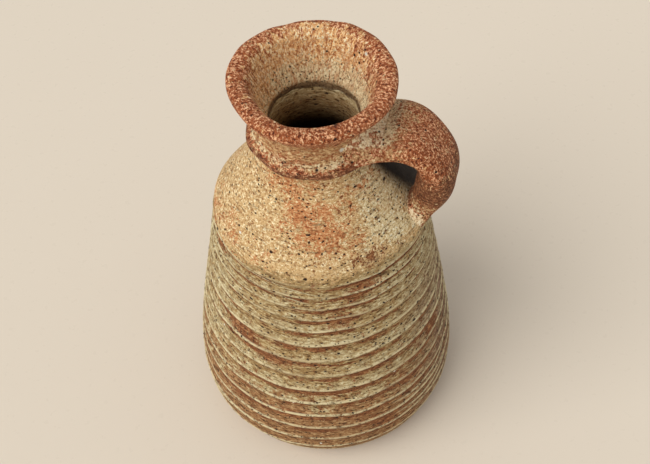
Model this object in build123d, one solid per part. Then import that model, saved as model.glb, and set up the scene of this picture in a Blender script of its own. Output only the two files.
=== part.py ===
from build123d import *
import math
import os

# Stoneware jug vase: a thrown body with a spirally ribbed wall, a separately thrown
# mouth collar luted over its neck, and one pulled strap handle worked on with soft clay.
#
# Frame: millimetres, +Z up, origin at the centre of the foot, handle in the XZ plane at +X.

# Foot and wall of the thrown body
belly_radius = 73.4
belly_height = 27.5
foot_tuck = 9.1             # how far the foot's edge lies inside the belly
shoulder_height = 154.0
shoulder_tuck = 21.7        # how far the shoulder lies inside the belly
wall_bulge = 1.7            # how far the wall swells out of its straight taper
wall_thickness = 6.0
floor_thickness = 7.0

# Conical dome from the shoulder to the neck, and the spigot that carries the collar
dome_rise = 49.5            # from the shoulder to the foot of the spigot
dome_turn_rise = 20.0       # up to here it is full, above it hollow
dome_turn_tuck = 13.5       # and that turn lies this far inside the shoulder
dome_swell = 1.0
dome_hollow = 1.2
throat_radius = 20.6
spigot_wall = 2.8
spigot_rise = 4.0           # straight part of the spigot above the dome

# Spiral left on the wall by the fingers
rib_turns = 15
rib_start_height = 5.0      # it ends at the shoulder
rib_start_angle = 190.0     # where the lowest turn begins, degrees about +Z
rib_even_turns = 9.0        # turns of even pitch
rib_closing_turns = 2.0     # over the next turns the pitch falls
rib_closing_share = 0.66    # to this share of itself, which holds up to the shoulder
rib_depth = 1.3             # crest to groove
rib_rise_turns = 1.5        # turns over which the groove gets its depth
rib_fall_turns = 3.5        # and over which it dies out below the shoulder

# Mouth collar, with heights above the spigot's top
collar_rise = 25.5          # to the crown of the lip
rim_radius = 37.0
lip_roll = 3.4              # crown of the lip lies this far in from its edge
lip_drop = 2.2              # and this far above it
lip_thickness = 4.8
lip_undercut = 1.4
lip_breadth = 7.6           # from the edge to where the funnel dips
lip_bow = 0.5               # how full that flat of the lip is
lip_fall = 3.4              # how far it has fallen there
throat_rise = 2.8           # to the lower end of the funnel
funnel_sag = 0.7            # how hollow the funnel is, inside and out
neck_wall = 6.0             # thickness at the waist
neck_rise = 7.5             # to the waist
ridge_proud = 3.7           # how far the ridge stands out of the waist
ridge_drop = 5.7            # how far below the spigot's top its edge is
ridge_round = 1.7           # radius of that edge
collar_drop = 14.5          # to the foot of the collar, on the dome
collar_foot_wall = 4.9      # thickness there

# Coil of clay pressed round the joint inside the throat
coil_height = 3.6
coil_proud = 0.9            # how far it stands into the throat
coil_depth = 2.4            # how far it reaches into the joint

# Strap handle, in the XZ plane
strap_thickness = 14.0
strap_squareness = 2.6      # 2 is an oval, more is squarer
strap_root_width = 34.5     # along Y, at the neck
strap_crown_width = 28.5
strap_heel_width = 13.5
root_drop = 9.0             # where it leaves the neck, below the waist
root_lean = -19.0           # and in which direction, degrees
root_pull = 5.0
root_depth = 12.0           # straight lead of the clay into the neck, before it is cut
crown_reach = 22.9          # turning point of the centre line, out from the waist
crown_drop = 2.6            # and down from the root
crown_lean = -45.0
crown_pull_in = 13.4
crown_pull_out = 22.8
heel_share = 0.2            # where it meets the dome, from the shoulder up to the turn
heel_lean = -115.0
heel_pull = 20.0
heel_depth = 8.5            # straight lead of the clay into the dome, before it is cut
root_clay_length = 8.0      # clay worked round the strap's root, from the neck's surface
heel_clay_length = 7.0      # and round its heel, from the dome
clay_flare = 1.6            # how much thicker than the strap that clay becomes

# Straight facets that stand for rounded forms
arc_facets = 3              # in each arc of a turned outline
strap_facets = 16           # round the strap
strap_bands = 18            # and along it

# What follows from these sizes
foot_radius = belly_radius - foot_tuck
shoulder_radius = belly_radius - shoulder_tuck
dome_turn_radius = shoulder_radius - dome_turn_tuck
dome_turn_height = shoulder_height + dome_turn_rise
dome_height = shoulder_height + dome_rise
spigot_height = dome_height + spigot_rise
spigot_radius = throat_radius + spigot_wall
overall_height = spigot_height + collar_rise
neck_radius = throat_radius + neck_wall
ridge_radius = neck_radius + ridge_proud
ridge_height = spigot_height - ridge_drop
collar_foot_height = spigot_height - collar_drop


def around(radius: float, degrees: float, height: float) -> Vector:
    """A point at that radius, angle about the axis and height."""
    angle = math.radians(degrees)
    return Vector(radius * math.cos(angle), radius * math.sin(angle), height)


def polar(length: float, degrees: float) -> Vector:
    """A step of that length in the XZ plane, at an angle from level."""
    angle = math.radians(degrees)
    return Vector(length * math.cos(angle), 0, length * math.sin(angle))


def wall_radius(height: float) -> float:
    """Radius of the wall over its crests: an arc up to the belly, then a swelled taper."""
    if height < belly_height:
        drop = belly_radius - foot_radius
        tuck = (belly_height**2 + drop**2) / (2 * drop)
        return belly_radius - tuck + math.sqrt(tuck**2 - (belly_height - height) ** 2)
    share = (height - belly_height) / (shoulder_height - belly_height)
    straight = belly_radius + (shoulder_radius - belly_radius) * share
    return straight + 4 * wall_bulge * share * (1 - share)


def turns_risen(turn: float) -> float:
    """Height of the spiral in full pitches: even at first, closing up, then close together."""
    closing = min(max(turn - rib_even_turns, 0.0), rib_closing_turns)
    close = max(turn - rib_even_turns - rib_closing_turns, 0.0)
    return turn - (1 - rib_closing_share) * (closing**2 / (2 * rib_closing_turns) + close)


def crest_point(turn: float) -> Vector:
    """The spiral's crest after a number of turns, from its start up to the shoulder."""
    share = turns_risen(turn) / turns_risen(rib_turns)
    height = rib_start_height + (shoulder_height - rib_start_height) * share
    return around(wall_radius(height), rib_start_angle + 360 * turn, height)


def groove_point(turn: float) -> Vector:
    """The groove above that crest: half way to the next turn's, set in by its depth."""
    last = rib_turns - 1
    depth = rib_depth * min(1.0, turn / rib_rise_turns, (last - turn) / rib_fall_turns)
    middle = (crest_point(turn) + crest_point(turn + 1)) / 2
    inward = Vector(middle.X, middle.Y, 0).normalized() * depth
    return middle - inward


def half_turn(line, start: float) -> Edge:
    """Half a turn of a spiral line, as one arc."""
    return Edge.make_three_point_arc(line(start), line(start + 0.25), line(start + 0.5))


def level_half(radius: float, height: float, side: int) -> Edge:
    """One half of a level ring, split where the spiral's half turns are."""
    start = rib_start_angle + 180 * side
    return Edge.make_three_point_arc(
        around(radius, start, height),
        around(radius, start + 90, height),
        around(radius, start + 180, height),
    )


def turned(points: list) -> list:
    """Faces of revolution through points (radius, height), two halves for each pair."""
    faces = []
    for low, high in zip(points, points[1:]):
        for side in (0, 1):
            start = rib_start_angle + 180 * side
            line = Edge.make_line(around(low[0], start, low[1]), around(high[0], start, high[1]))
            faces.append(Face.revolve(line, 180, Axis.Z))
    return faces


def disc(radius: float, height: float) -> Face:
    """A level disc that closes a turned skin."""
    return Face(Wire([level_half(radius, height, side) for side in (0, 1)]))


def ring_face(outer: float, inner: float, height: float) -> Face:
    """A level ring between two turned skins."""
    hole = Wire([level_half(inner, height, side) for side in (0, 1)])
    return Face(Wire([level_half(outer, height, side) for side in (0, 1)]), [hole])


def ribbed_wall() -> list:
    """Faces of the spiral: crest to groove and groove to the next crest, half a turn each."""
    low = wall_radius(rib_start_height)
    faces = []
    for side in (0, 1):
        first = level_half(low, rib_start_height, side)
        last = level_half(shoulder_radius, shoulder_height, side)
        faces.append(Face.make_surface_from_curves(first, half_turn(crest_point, side / 2)))
        top_start = rib_turns - 1 + side / 2
        faces.append(Face.make_surface_from_curves(half_turn(crest_point, top_start), last))
    for half in range(2 * (rib_turns - 1)):
        start = half / 2
        groove = half_turn(groove_point, start)
        faces.append(Face.make_surface_from_curves(half_turn(crest_point, start), groove))
        faces.append(Face.make_surface_from_curves(groove, half_turn(crest_point, start + 1)))
    return faces


def arc_points(first: Vector, middle: Vector, last: Vector) -> list:
    """Points (radius, height) of an arc through three points, without its end."""
    arc = Edge.make_three_point_arc(first, middle, last)
    places = [arc.position_at(step / arc_facets) for step in range(arc_facets)]
    return [(place.X, place.Z) for place in places]


def bowed(start: tuple, end: tuple, bow: float) -> list:
    """Points of an arc that stands off its chord, outwards where bow is positive.

    The arc's end is left out, so that the next line can begin with it.
    """
    first, last = Vector(start[0], 0, start[1]), Vector(end[0], 0, end[1])
    chord = (last - first).normalized()
    middle = (first + last) / 2 + Vector(chord.Z, 0, -chord.X) * bow
    return arc_points(first, middle, last)


def dome_outline() -> list:
    """Points from the shoulder up: a full arc, then a hollow one, then the straight spigot."""
    shoulder = (shoulder_radius, shoulder_height)
    turn = (dome_turn_radius, dome_turn_height)
    foot = (spigot_radius, dome_height)
    full = bowed(shoulder, turn, -dome_swell)
    hollow = bowed(turn, foot, dome_hollow)
    return [*full, *hollow, foot, (spigot_radius, spigot_height)]


def cavity_outline() -> list:
    """Points of the hollow, set in from floor, wall and dome, and of the throat's bore."""
    set_in = wall_thickness + rib_depth
    corner_height = floor_thickness + wall_thickness
    corner = wall_radius(corner_height) - set_in
    return [
        (corner - wall_thickness, floor_thickness),
        (corner, corner_height),
        (belly_radius - set_in, belly_height + wall_thickness),
        (shoulder_radius - set_in, shoulder_height - wall_thickness / 2),
        (dome_turn_radius - wall_thickness, dome_turn_height - wall_thickness / 2),
        (throat_radius, collar_foot_height),
        (throat_radius, spigot_height),
    ]


def body_outside() -> list:
    """Faces of the body's outside: foot, ribbed wall and dome, up to the spigot's edge."""
    low = (wall_radius(rib_start_height), rib_start_height)
    foot = [disc(foot_radius, 0), *turned([(foot_radius, 0), low])]
    return [*foot, *ribbed_wall(), *turned(dome_outline())]


def thrown_body() -> Solid:
    """The body: its outside, the rim of the spigot, the throat and the hollow, as one shell."""
    cavity = cavity_outline()
    rim = ring_face(spigot_radius, throat_radius, spigot_height)
    return Solid(Shell([*body_outside(), rim, *turned(cavity), disc(*cavity[0])]))


def filled_body() -> Solid:
    """The body's outside filled in, for seating the handle on it."""
    return Solid(Shell([*body_outside(), disc(spigot_radius, spigot_height)]))


def collar_outside() -> list:
    """Points of the collar's outside: lip, underside of the funnel, neck and ridge."""
    crown = Vector(rim_radius - lip_roll, 0, overall_height)
    edge = Vector(rim_radius, 0, overall_height - lip_drop)
    under = Vector(rim_radius - lip_undercut, 0, overall_height - lip_thickness)
    waist = (neck_radius, spigot_height + neck_rise)
    ridge_top = Vector(ridge_radius - ridge_round, 0, ridge_height + ridge_round)
    ridge_edge = Vector(ridge_radius, 0, ridge_height)
    ridge_low = Vector(ridge_radius - ridge_round, 0, ridge_height - ridge_round)
    return [
        *arc_points(crown, edge, under),
        *bowed((under.X, under.Z), waist, -funnel_sag),
        *bowed(waist, (ridge_top.X, ridge_top.Z), -funnel_sag),
        *arc_points(ridge_top, ridge_edge, ridge_low),
        (ridge_low.X, ridge_low.Z),
        (throat_radius + collar_foot_wall, collar_foot_height),
    ]


def mouth_collar_blank() -> Solid:
    """The mouth collar before it is seated: funnel, lip, neck and ridge, turned."""
    outside = collar_outside()
    flat = (rim_radius - lip_breadth, overall_height - lip_fall)
    throat = (throat_radius, spigot_height + throat_rise)
    inside = [
        (throat_radius, collar_foot_height),
        *bowed(throat, flat, -funnel_sag),
        *bowed(flat, outside[0], -lip_bow),
    ]
    return Solid(Shell(turned([*outside, *inside, outside[0]])))


def filled_collar() -> Solid:
    """The collar's outside filled in, for seating the handle on it."""
    outside = collar_outside()
    return Solid(Shell([disc(*outside[0]), *turned(outside), disc(*outside[-1])]))


def throat_coil_blank() -> Solid:
    """The coil that closes the joint inside the throat, rounded where it shows."""
    low = Vector(throat_radius, 0, spigot_height - coil_height / 2)
    proud = Vector(throat_radius - coil_proud, 0, spigot_height)
    high = low + Vector(0, 0, coil_height)
    deep = (throat_radius + coil_depth, spigot_height)
    start = (low.X, low.Z)
    return Solid(Shell(turned([*arc_points(low, proud, high), (high.X, high.Z), deep, start])))


def strap_line() -> Wire:
    """Centre line of the handle in the XZ plane, from inside the neck to inside the dome."""
    root = Vector(neck_radius, 0, spigot_height + neck_rise - root_drop)
    crown = root + Vector(crown_reach, 0, -crown_drop)
    shoulder = Vector(shoulder_radius, 0, shoulder_height)
    heel = shoulder + Vector(-dome_turn_tuck, 0, dome_turn_rise) * heel_share
    lead = Edge.make_line(root - polar(root_depth, root_lean), root)
    upper = Edge.make_bezier(
        root,
        root + polar(root_pull, root_lean),
        crown - polar(crown_pull_in, crown_lean),
        crown,
    )
    lower = Edge.make_bezier(
        crown,
        crown + polar(crown_pull_out, crown_lean),
        heel - polar(heel_pull, heel_lean),
        heel,
    )
    tail = Edge.make_line(heel, heel + polar(heel_depth, heel_lean))
    return Wire([lead, upper, lower, tail])


def strap_width(share: float) -> float:
    """Width of the strap at a share of its length: it narrows from the root to the heel."""
    if share < 0.5:
        start, end, part = strap_root_width, strap_crown_width, 2 * share
    else:
        start, end, part = strap_crown_width, strap_heel_width, 2 * share - 1
    return start + (end - start) * part * part * (3 - 2 * part)


def strap_ring(line: Wire, share: float, spread: float) -> Wire:
    """Cross-section of the strap: an oval with fuller corners, made wider by spread."""
    place = line.position_at(share)
    along = line.tangent_at(share)
    lift = Vector(-along.Z, 0, along.X)
    corners = []
    for step in range(strap_facets):
        angle = 2 * math.pi * (step + 0.5) / strap_facets
        across = math.copysign(abs(math.cos(angle)) ** (2 / strap_squareness), math.cos(angle))
        up = math.copysign(abs(math.sin(angle)) ** (2 / strap_squareness), math.sin(angle))
        sideways = Vector(0, (strap_width(share) / 2 + spread) * across, 0)
        corners.append(place + sideways + lift * ((strap_thickness / 2 + spread) * up))
    return Wire.make_polygon(corners, close=True)


def strap_piece(start: float, end: float, flare_start: float = 0, flare_end: float = 0) -> Solid:
    """A stretch of the strap between two distances, flaring out towards either end."""
    line = strap_line()
    bands = max(2, round(strap_bands * (end - start) / line.length))
    rings = []
    for step in range(bands + 1):
        part = step / bands
        spread = flare_start * (1 - part) ** 2 + flare_end * part**2
        rings.append(strap_ring(line, (start + (end - start) * part) / line.length, spread))
    return Solid.make_loft(rings, ruled=True)


def main() -> None:
    """Build each piece against its neighbours and write one file for each."""
    os.makedirs("parts", exist_ok=True)
    body = thrown_body()
    coil = throat_coil_blank() - body
    root_end = root_depth + root_clay_length
    strap_length = strap_line().length
    heel_start = strap_length - heel_depth - heel_clay_length
    root_blank = strap_piece(0, root_end, flare_start=clay_flare)
    heel_blank = strap_piece(heel_start, strap_length, flare_end=clay_flare)
    pieces = {
        "thrown_body": body,
        "mouth_collar": mouth_collar_blank() - body - coil,
        "throat_coil": coil,
        "strap_handle": strap_piece(root_end, heel_start),
        "handle_root_clay": root_blank - filled_collar() - filled_body(),
        "handle_heel_clay": heel_blank - filled_body(),
    }
    for name, piece in pieces.items():
        export_step(piece, f"parts/{name}.step")
        print(name, len(piece.solids()), round(piece.volume, 1))


main()
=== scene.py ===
"""Dresses the stoneware jug vase: ribbed body, funnel collar, strap handle and joint clay."""

from __future__ import annotations

import logging
from dataclasses import dataclass
from enum import Enum
from functools import reduce

import bpy
import numpy as np
from mathutils import Matrix, Vector

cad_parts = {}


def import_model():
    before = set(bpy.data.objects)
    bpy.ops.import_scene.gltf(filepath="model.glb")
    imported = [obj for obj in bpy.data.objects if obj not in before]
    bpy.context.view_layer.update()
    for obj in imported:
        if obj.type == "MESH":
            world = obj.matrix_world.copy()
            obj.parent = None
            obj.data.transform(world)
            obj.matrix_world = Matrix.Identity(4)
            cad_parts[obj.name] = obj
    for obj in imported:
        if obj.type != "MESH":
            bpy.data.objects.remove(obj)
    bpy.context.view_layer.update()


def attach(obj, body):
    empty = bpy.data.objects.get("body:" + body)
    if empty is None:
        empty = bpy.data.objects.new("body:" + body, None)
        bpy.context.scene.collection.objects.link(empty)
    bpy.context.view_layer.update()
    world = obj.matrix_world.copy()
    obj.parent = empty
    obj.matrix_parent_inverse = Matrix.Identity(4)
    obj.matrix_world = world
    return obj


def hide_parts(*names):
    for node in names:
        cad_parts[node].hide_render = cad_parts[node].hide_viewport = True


MM = 0.001
CURVE_POINTS = 65
SPAN_STEPS = 12
LOG = logging.getLogger("vase")
SHEEN = 0.25
Grid = np.ndarray
Outline = tuple[tuple[float, float], ...]
Socket = bpy.types.NodeSocket
Material = bpy.types.Material
Piece = bpy.types.Object


class Close(Enum):
    """How the two ends of a piece's rows of rings are closed."""

    LOOP = "last row joins the first"
    CAPS = "each end row runs in to a centre point"


class Sum(Enum):
    """The sums that a finish works out for each place."""

    ADD = "a + b"
    SUBTRACT = "a - b"
    MULTIPLY = "a b"
    MULTIPLY_ADD = "a b + c"
    MAXIMUM = "the greater"
    LESS_THAN = "1 where a < b"
    ABSOLUTE = "a without its sign"
    ARCTAN2 = "the angle of (b, a)"


# ---------------------------------------------------------------- shapes in numbers


def smooth(low: float, high: float, value: Grid) -> Grid:
    """A soft step from 0 at low to 1 at high, with level ends: 3t^2 - 2t^3.

    Args:
        low: value where the step begins; it may be above high for a falling step.
        high: value where it ends.
        value: where to read it.

    Returns:
        Shares from 0 to 1, in value's shape.
    """
    t = np.clip((value - low) / (high - low), 0.0, 1.0)
    return t * t * (3 - 2 * t)


def hump(centre: float, width: float, value: Grid) -> Grid:
    """A bell of height 1 about centre: exp(-((value - centre) / width)^2)."""
    return np.exp(-(((value - centre) / width) ** 2))


def turn_from(angle: Grid, degrees: float) -> Grid:
    """The signed way from a bearing to each angle, in degrees from -180 to 180."""
    return (np.degrees(angle) - degrees + 180.0) % 360.0 - 180.0


def phase_paint(turns: Grid, strength: Grid) -> Grid:
    """A phase in turns as (cos, sin, strength), which can be painted without a jump."""
    return np.stack([np.cos(2 * np.pi * turns), np.sin(2 * np.pi * turns), strength], axis=-1)


def heading(degrees: float) -> Grid:
    """The unit step (across, up) at an angle from level."""
    return np.array([np.cos(np.radians(degrees)), np.sin(np.radians(degrees))])


def bezier(start: Grid, pull: Grid, ease: Grid, end: Grid) -> Grid:
    """A cubic curve between two points, drawn by two handles.

    Args:
        start: first point.
        pull: first handle.
        ease: second handle.
        end: last point.

    Returns:
        CURVE_POINTS points, (1-t)^3 start + 3t(1-t)^2 pull + 3t^2(1-t) ease + t^3 end.
    """
    t = np.linspace(0.0, 1.0, CURVE_POINTS)[:, None]
    back = 1 - t
    return back**3 * start + 3 * t * back**2 * pull + 3 * t**2 * back * ease + t**3 * end


def joined(
    t: Grid, start: Grid, leave: Grid, end: Grid, arrive: Grid
) -> Grid:
    """A cubic from one place to another with a given slope at each end.

    Args:
        t: shares of the way, 0 to 1.
        start: first place.
        leave: slope there.
        end: last place.
        arrive: slope there.

    Returns:
        (2t^3-3t^2+1) start + (t^3-2t^2+t) leave + (3t^2-2t^3) end + (t^3-t^2) arrive.
    """
    return (
        (2 * t**3 - 3 * t**2 + 1) * start
        + (t**3 - 2 * t**2 + t) * leave
        + (3 * t**2 - 2 * t**3) * end
        + (t**3 - t**2) * arrive
    )


def flowing(points: Grid) -> Grid:
    """A smooth line through points.

    Each span is a cubic whose slope at a point is half the step between its neighbours.

    Args:
        points: (n, 2) points to pass through.

    Returns:
        SPAN_STEPS points to each span, and the last one.
    """
    before = np.vstack([2 * points[0] - points[1], points[:-1]])
    after = np.vstack([points[1:], 2 * points[-1] - points[-2]])
    slope = (after - before) / 2
    t = np.linspace(0.0, 1.0, SPAN_STEPS, endpoint=False)[None, :, None]
    spans = joined(t, points[:-1, None], slope[:-1, None], points[1:, None], slope[1:, None])
    return np.vstack([spans.reshape(-1, points.shape[1]), points[-1:]])


class Track:
    """A line read by the distance along it, in millimetres."""

    def __init__(self, points: Grid) -> None:
        """Adds up the steps between the line's points.

        Args:
            points: (n, 2) points in order.
        """
        self.points = points
        steps = np.linalg.norm(np.diff(points, axis=0), axis=1)
        self.run = np.concatenate([[0.0], np.cumsum(steps)])

    @property
    def length(self) -> float:
        """Length of the whole line."""
        return float(self.run[-1])

    def at(self, distance: Grid) -> Grid:
        """Points at those distances: straight between the line's own points."""
        columns = [np.interp(distance, self.run, column) for column in self.points.T]
        return np.stack(columns, axis=-1)

    def along(self, distance: Grid) -> Grid:
        """Unit directions there: the step over one millimetre about each place."""
        step = self.at(distance + 0.5) - self.at(distance - 0.5)
        return step / np.linalg.norm(step, axis=-1, keepdims=True)

    def nearest(self, point: Grid) -> float:
        """Distance along the line of its point nearest to the given one."""
        return float(self.run[np.argmin(np.linalg.norm(self.points - point, axis=1))])

    def spaced(self, spacing: float) -> Grid:
        """The line again, in equal steps of about that spacing."""
        return self.at(np.linspace(0.0, self.length, max(2, round(self.length / spacing) + 1)))


@dataclass(frozen=True)
class Ripple:
    """Unevenness of hand work round the axis: a sum of sine waves that closes on itself.

    Wave k is sin(lobes_k * angle + rate_k * height + shift_k), and the sum is divided so
    that its usual size is 1.
    """

    seed: int
    most_lobes: int
    height_mm: float
    waves: int = 14

    def at(self, angle: Grid, height: Grid) -> Grid:
        """Values of the sum.

        Args:
            angle: bearings about the axis, in radians.
            height: heights or distances in millimetres, of a shape that fits angle's.

        Returns:
            The unevenness, about -2 to 2.
        """
        draw = np.random.default_rng(self.seed)
        lobes = draw.integers(1, self.most_lobes + 1, self.waves)
        rate = draw.uniform(-2 * np.pi, 2 * np.pi, self.waves) / self.height_mm
        shift = draw.uniform(0, 2 * np.pi, self.waves)
        total = np.zeros(np.broadcast_shapes(angle.shape, height.shape))
        for k in range(self.waves):
            total += np.sin(lobes[k] * angle + rate[k] * height + shift[k])
        return total / np.sqrt(self.waves / 2)


def build_mesh(name: str, points: Grid, close: Close, paint: dict[str, Grid]) -> Piece:
    """Makes a piece from rows of rings.

    Args:
        name: name of the piece.
        points: (rows, columns, 3) places in millimetres; each row closes on itself.
        close: how the end rows are closed.
        paint: values of each named attribute at the points, one or three for each.

    Returns:
        The new object, its faces pointing outwards.
    """
    rows, columns = points.shape[:2]
    place = points.reshape(-1, 3)
    index = np.arange(rows * columns).reshape(rows, columns)
    upper = np.roll(index, -1, axis=0) if close is Close.LOOP else index[1:]
    lower = index if close is Close.LOOP else index[:-1]
    after, above = np.roll(lower, -1, axis=1), np.roll(upper, -1, axis=1)
    quads = np.stack([lower, after, above, upper], axis=-1).reshape(-1, 4)
    fans = np.empty((0, 3), int)
    if close is Close.CAPS:
        place = np.vstack([place, points[0].mean(axis=0), points[-1].mean(axis=0)])
        first, last, count = index[0], index[-1], rows * columns
        fans = np.vstack([
            np.stack([np.roll(first, -1), first, np.full(columns, count)], axis=-1),
            np.stack([last, np.roll(last, -1), np.full(columns, count + 1)], axis=-1),
        ])
    corner = np.concatenate([quads.ravel(), fans.ravel()])
    sizes = np.concatenate([np.full(len(quads), 4), np.full(len(fans), 3)])
    starts = np.concatenate([[0], np.cumsum(sizes)[:-1]])
    a, b, c, d = (place[quads[:, k]] for k in range(4))
    volume = np.einsum("ij,ij->", a, np.cross(b, c)) + np.einsum("ij,ij->", a, np.cross(c, d))
    mesh = bpy.data.meshes.new(name)
    mesh.vertices.add(len(place))
    mesh.vertices.foreach_set("co", (place * MM).ravel())
    mesh.loops.add(len(corner))
    mesh.loops.foreach_set("vertex_index", corner)
    mesh.polygons.add(len(sizes))
    mesh.polygons.foreach_set("loop_start", starts)
    mesh.polygons.foreach_set("use_smooth", np.ones(len(sizes), bool))
    for key, values in paint.items():
        flat = values.reshape(rows * columns, -1)
        spare = len(place) - len(flat)
        if spare:
            flat = np.vstack([flat, flat[:columns].mean(axis=0), flat[-columns:].mean(axis=0)])
        kind = "FLOAT" if flat.shape[1] == 1 else "FLOAT_VECTOR"
        layer = mesh.attributes.new(key, kind, "POINT")
        layer.data.foreach_set("value" if kind == "FLOAT" else "vector", flat.ravel())
    mesh.update(calc_edges=True)
    if volume < 0:
        mesh.flip_normals()
    mesh.validate()
    piece = bpy.data.objects.new(name, mesh)
    bpy.context.scene.collection.objects.link(piece)
    return piece


def turned_points(outline: Grid, angle: Grid) -> Grid:
    """An outline (radius, height) carried round the axis: (r cos, r sin, z).

    Args:
        outline: (rows, 2) or (rows, columns, 2) radii and heights in millimetres.
        angle: (columns,) bearings in radians.

    Returns:
        (rows, columns, 3) points.
    """
    grid = outline[:, None] if outline.ndim == 2 else outline
    parts = np.broadcast_arrays(grid[..., 0], grid[..., 1])
    radius, height = (part * np.ones(len(angle)) for part in parts)
    return np.stack([radius * np.cos(angle), radius * np.sin(angle), height], axis=-1)


def bearings(columns: int) -> Grid:
    """Evenly spaced angles once round the axis, in radians."""
    return np.linspace(0.0, 2 * np.pi, columns, endpoint=False)


# ---------------------------------------------------------------- finishes


@dataclass(frozen=True)
class Tone:
    """A colour as it looks, each part from 0 to 255."""

    red: int
    green: int
    blue: int

    def linear(self) -> tuple[float, float, float, float]:
        """The same colour as the light it gives back.

        Returns:
            Red, green, blue and cover, 0 to 1: (part / 12.92) or ((part + 0.055) / 1.055)^2.4.
        """
        parts = np.array([self.red, self.green, self.blue]) / 255.0
        light = np.where(parts <= 0.04045, parts / 12.92, ((parts + 0.055) / 1.055) ** 2.4)
        return (*light.tolist(), 1.0)


@dataclass(frozen=True)
class Clay:
    """One look of the clay: its dark flecks, its body and its pale flecks."""

    dark: Tone
    body: Tone
    pale: Tone

    def tones(self) -> list[Tone]:
        """The three tones in order."""
        return [self.dark, self.body, self.pale]


class Canvas:
    """One material's nodes. Sizes are in millimetres on the piece's Object coordinates."""

    def __init__(self, name: str) -> None:
        """Starts a material with an empty clay surface.

        Args:
            name: the material's name.
        """
        self.material = bpy.data.materials.new(name)
        self.material.use_nodes = True
        self.tree = self.material.node_tree
        self.shader = self.tree.nodes["Principled BSDF"]
        self.object_place = self.add("ShaderNodeTexCoord").outputs["Object"]

    def add(self, kind: str, **settings: object) -> bpy.types.Node:
        """Adds a node and sets its properties.

        Args:
            kind: the node's type.
            settings: its properties by name.

        Returns:
            The node.
        """
        node = self.tree.nodes.new(kind)
        for key, value in settings.items():
            setattr(node, key, value)
        return node

    def feed(self, socket: Socket, value: object) -> None:
        """Gives a socket its value.

        Args:
            socket: the socket to feed.
            value: a link, a tone or a plain number.
        """
        if isinstance(value, Tone):
            socket.default_value = value.linear()
        elif isinstance(value, (int, float)):
            socket.default_value = value
        else:
            self.tree.links.new(value, socket)

    def place(self, stretch: tuple[float, float, float], start: Socket | None = None) -> Socket:
        """Coordinates to lay a pattern on.

        Args:
            stretch: how much longer the pattern gets along each axis.
            start: coordinates to begin with, the Object ones in millimetres if left out.

        Returns:
            Those coordinates, each axis divided by its stretch.
        """
        node = self.add("ShaderNodeMapping")
        scale = 1000.0 if start is None else 1.0
        node.inputs["Scale"].default_value = [scale / s for s in stretch]
        self.feed(node.inputs["Vector"], start or self.object_place)
        return node.outputs["Vector"]

    def painted(self, name: str) -> Socket:
        """The values painted on the piece under that name."""
        return self.add("ShaderNodeAttribute", attribute_name=name).outputs["Fac"]

    def flow(self, stretch: tuple[float, float, float]) -> Socket:
        """The piece's own flow coordinates, each divided by its stretch."""
        node = self.add("ShaderNodeAttribute", attribute_name="flow")
        return self.place(stretch, node.outputs["Vector"])

    def pattern(
        self, kind: str, size: float, where: Socket | None, settings: dict[str, float]
    ) -> bpy.types.Node:
        """Lays one pattern.

        Args:
            kind: the node's type.
            size: size of its cells or clouds in millimetres.
            where: coordinates, plain Object ones if left out.
            settings: its other inputs by name.

        Returns:
            The node.
        """
        node = self.add(kind)
        self.feed(node.inputs["Vector"], where or self.place((1, 1, 1)))
        for name, value in {"Scale": 1.0 / size, **settings}.items():
            self.feed(node.inputs[name], value)
        return node

    def noise(
        self,
        size: float,
        detail: float = 3.0,
        rough: float = 0.55,
        where: Socket | None = None,
        twist: float = 0.0,
    ) -> Socket:
        """Cloudy values about 0.5.

        Args:
            size: size of the clouds in millimetres.
            detail: how many finer layers they have.
            rough: strength of each finer layer.
            where: coordinates, plain Object ones if left out.
            twist: how far the clouds are swirled.

        Returns:
            The values.
        """
        settings = {"Detail": detail, "Roughness": rough, "Distortion": twist}
        return self.pattern("ShaderNodeTexNoise", size, where, settings).outputs["Fac"]

    def step(self, value: Socket, low: float, high: float, top: float = 1.0) -> Socket:
        """A soft step.

        Args:
            value: the value to read.
            low: where the step is still 0; above high for a falling step.
            high: where it has reached the top.
            top: its height.

        Returns:
            0 to top.
        """
        node = self.add("ShaderNodeMapRange", interpolation_type="SMOOTHSTEP")
        for name, number in (("From Min", low), ("From Max", high), ("To Max", top)):
            self.feed(node.inputs[name], number)
        self.feed(node.inputs["Value"], value)
        return node.outputs["Result"]

    def sums(self, kind: Sum, *values: object) -> Socket:
        """One sum of two or three values.

        Args:
            kind: which sum.
            values: links or plain numbers, in the sum's order.

        Returns:
            The result.
        """
        node = self.add("ShaderNodeMath", operation=kind.name)
        for socket, value in zip(node.inputs, values):
            self.feed(socket, value)
        return node.outputs[0]

    def times(self, a: object, b: object) -> Socket:
        """Two values multiplied."""
        return self.sums(Sum.MULTIPLY, a, b)

    def most(self, *values: Socket) -> Socket:
        """The greatest of some values."""
        return reduce(lambda a, b: self.sums(Sum.MAXIMUM, a, b), values)

    def blend(self, share: object, under: object, over: object, kind: str = "MIX") -> Socket:
        """Lays one colour over another.

        Args:
            share: how much of the upper one.
            under: the lower colour.
            over: the upper colour.
            kind: how they blend.

        Returns:
            The colour.
        """
        node = self.add("ShaderNodeMix", data_type="RGBA", blend_type=kind)
        self.feed(node.inputs["Factor"], share)
        self.feed(node.inputs[6], under)
        self.feed(node.inputs[7], over)
        return node.outputs[2]

    def mix(self, share: Socket, under: Socket, over: Socket) -> Socket:
        """One value goes over into another.

        Args:
            share: how much of the second.
            under: the first value.
            over: the second value.

        Returns:
            The value.
        """
        node = self.add("ShaderNodeMix")
        for index, value in enumerate((share, None, under, over)):
            if value is not None:
                self.feed(node.inputs[index], value)
        return node.outputs[0]

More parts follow.
